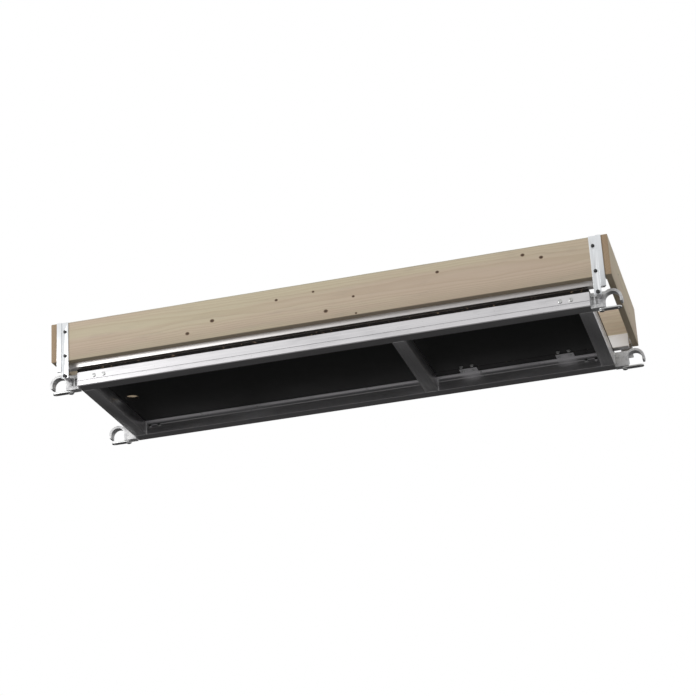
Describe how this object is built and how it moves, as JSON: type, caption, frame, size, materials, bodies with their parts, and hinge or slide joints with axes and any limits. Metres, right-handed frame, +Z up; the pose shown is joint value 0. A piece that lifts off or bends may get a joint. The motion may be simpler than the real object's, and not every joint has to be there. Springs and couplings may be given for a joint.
{
  "type": "scaffold platform",
  "caption": "Aluminium-framed plywood scaffold deck with rung claws, swinging wind locks, a hinged trapdoor and timber toe boards all round.",
  "frame": {"origin": "centre of the footprint, at the height of the lowest bolt heads", "axes": "+X along the plank towards the trapdoor end, -Y the front long side, +Z up"},
  "size_m": [2.019, 0.682, 0.249],
  "materials": {
    "mill_aluminium": "extruded and lightly scuffed, satin",
    "bright_aluminium": "pale anodised, satin",
    "cast_aluminium": "sand cast, matt",
    "zinc_steel": "zinc plated",
    "dark_steel": "blackened",
    "film_plywood": "phenolic film with a moulded anti-slip grid",
    "board_timber": "planed softwood, unpainted"
  },
  "bodies": {
    "frame": {"side_beam_front": "mill_aluminium", "side_beam_rear": "mill_aluminium", "end_beam_left": "mill_aluminium", "end_beam_right": "mill_aluminium", "cross_beam": "mill_aluminium", "claw_front_left": "cast_aluminium", "claw_front_right": "cast_aluminium", "claw_rear_left": "cast_aluminium", "claw_rear_right": "cast_aluminium", "claw_bolts": "zinc_steel", "wind_lock_bolts": "zinc_steel", "deck_panel": "film_plywood", "deck_rivets": "mill_aluminium", "hinge_deck_leaf_left": "zinc_steel", "hinge_deck_leaf_right": "zinc_steel", "hinge_pins": "zinc_steel", "hinge_strap_left": "mill_aluminium", "hinge_strap_right": "mill_aluminium", "hinge_deck_bolts": "zinc_steel", "hatch_rest_left": "mill_aluminium", "hatch_rest_right": "mill_aluminium", "hatch_rest_rivets": "mill_aluminium", "toe_board_front": "board_timber", "toe_board_rear": "board_timber", "toe_board_left": "board_timber", "toe_board_right": "board_timber", "toe_rail_front": "bright_aluminium", "toe_rail_rear": "bright_aluminium", "corner_bracket_front_left": "bright_aluminium", "corner_bracket_front_right": "bright_aluminium", "corner_bracket_rear_left": "bright_aluminium", "corner_bracket_rear_right": "bright_aluminium", "board_screws": "dark_steel", "rail_screws": "zinc_steel", "end_board_screws": "dark_steel", "bracket_foot_bolts": "dark_steel", "bracket_spacers": "zinc_steel"},
    "hatch": {"hatch_lid": "film_plywood", "hinge_lid_leaf_left": "zinc_steel", "hinge_lid_leaf_right": "zinc_steel", "hinge_lid_bolts": "zinc_steel", "latch_bush": "zinc_steel"},
    "latch": {"latch_knob": "dark_steel", "latch_blade": "zinc_steel", "latch_nut": "zinc_steel"},
    "wind_lock_front_left": {"wind_lock_front_left": "zinc_steel"},
    "wind_lock_front_right": {"wind_lock_front_right": "zinc_steel"},
    "wind_lock_rear_left": {"wind_lock_rear_left": "zinc_steel"},
    "wind_lock_rear_right": {"wind_lock_rear_right": "zinc_steel"}
  },
  "joints": [
    {"name": "hatch_hinge", "type": "hinge", "parent": "frame", "child": "hatch", "pos_m": [0.56, 0.201, 0.0836], "axis": [-1, 0, 0], "range_deg": [0, 100]},
    {"name": "hatch_latch", "type": "hinge", "parent": "hatch", "child": "latch", "pos_m": [0.56, -0.168, 0.07], "axis": [0, 0, -1], "range_deg": [0, 90]},
    {"name": "wind_lock_front_left_swing", "type": "hinge", "parent": "frame", "child": "wind_lock_front_left", "pos_m": [-0.936, -0.279, 0.007], "axis": [0, 0, -1], "range_deg": [0, 90]},
    {"name": "wind_lock_front_right_swing", "type": "hinge", "parent": "frame", "child": "wind_lock_front_right", "pos_m": [0.936, -0.279, 0.007], "axis": [0, 0, 1], "range_deg": [0, 90]},
    {"name": "wind_lock_rear_left_swing", "type": "hinge", "parent": "frame", "child": "wind_lock_rear_left", "pos_m": [-0.936, 0.279, 0.007], "axis": [0, 0, 1], "range_deg": [0, 90]},
    {"name": "wind_lock_rear_right_swing", "type": "hinge", "parent": "frame", "child": "wind_lock_rear_right", "pos_m": [0.936, 0.279, 0.007], "axis": [0, 0, -1], "range_deg": [0, 90]}
  ]
}
